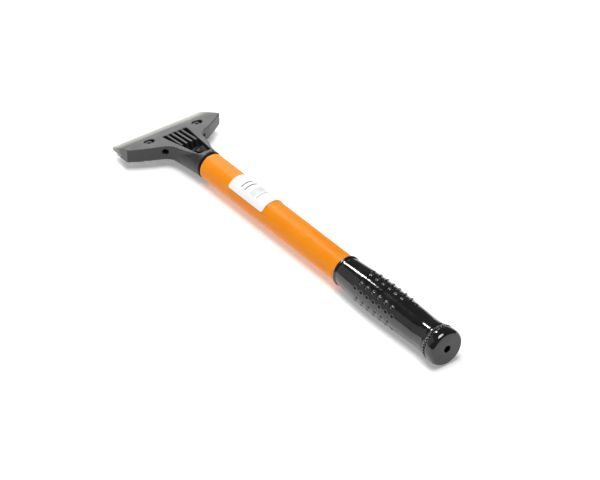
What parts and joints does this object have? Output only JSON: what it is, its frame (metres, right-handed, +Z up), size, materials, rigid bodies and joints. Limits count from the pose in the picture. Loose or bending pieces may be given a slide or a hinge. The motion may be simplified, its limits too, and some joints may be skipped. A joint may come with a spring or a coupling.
{
  "type": "floor scraper",
  "caption": "Long-handled floor scraper: a moulded head clamps a wide two-edged blade between wing and plate, on a coated steel tube with a nubbed vinyl grip sleeve.",
  "frame": {"origin": "bottom centre of the bounding box, on the surface that the tool lies on", "axes": "+X from the blade to the grip along the tube, +Y across the blade, +Z up away from the blade clamp"},
  "size_m": [0.4128, 0.101, 0.033],
  "materials": {
    "head_moulding": "satin, finely textured",
    "orange_coat": "glossy powder coat",
    "black_vinyl": "glossy, dipped look",
    "label_paper": "matt, plain bars only",
    "blade_steel": "ground, lightly oiled",
    "black_steel": "black oxide",
    "zinc_steel": "zinc plated"
  },
  "bodies": {
    "handle_and_head": {"head_body": "head_moulding", "neck_spigot": "black_steel", "handle_tube": "orange_coat", "grip_sleeve": "black_vinyl", "tube_label": "label_paper", "tube_rivet": "zinc_steel", "neck_grub_screw": "black_steel", "spring_washer_left": "black_steel", "spring_washer_right": "black_steel"},
    "clamp_screw_left": {"clamp_screw_left": "black_steel"},
    "clamp_screw_right": {"clamp_screw_right": "black_steel"},
    "clamp": {"clamp_plate": "black_steel", "square_nut_left": "zinc_steel", "square_nut_right": "zinc_steel"},
    "blade": {"blade": "blade_steel"}
  },
  "joints": [
    {"name": "screw_left_turn", "type": "hinge", "parent": "handle_and_head", "child": "clamp_screw_left", "pos_m": [-0.1778, 0.026, 0.0094], "axis": [0, 0, 1], "range_deg": [0, 720]},
    {"name": "screw_right_turn", "type": "hinge", "parent": "handle_and_head", "child": "clamp_screw_right", "pos_m": [-0.1778, -0.026, 0.0094], "axis": [0, 0, 1], "range_deg": [0, 720]},
    {"name": "clamp_drop", "type": "slide", "parent": "handle_and_head", "child": "clamp", "axis": [0, 0, -1], "range_m": [0, 0.0016]},
    {"name": "blade_slide", "type": "slide", "parent": "handle_and_head", "child": "blade", "axis": [-1, 0, 0], "range_m": [0, 0.02]}
  ],
  "couplings": [
    {"joint": "screw_left_turn", "follows": "clamp_drop", "rad_per_m": 7853.9},
    {"joint": "screw_right_turn", "follows": "clamp_drop", "rad_per_m": 7853.9}
  ]
}
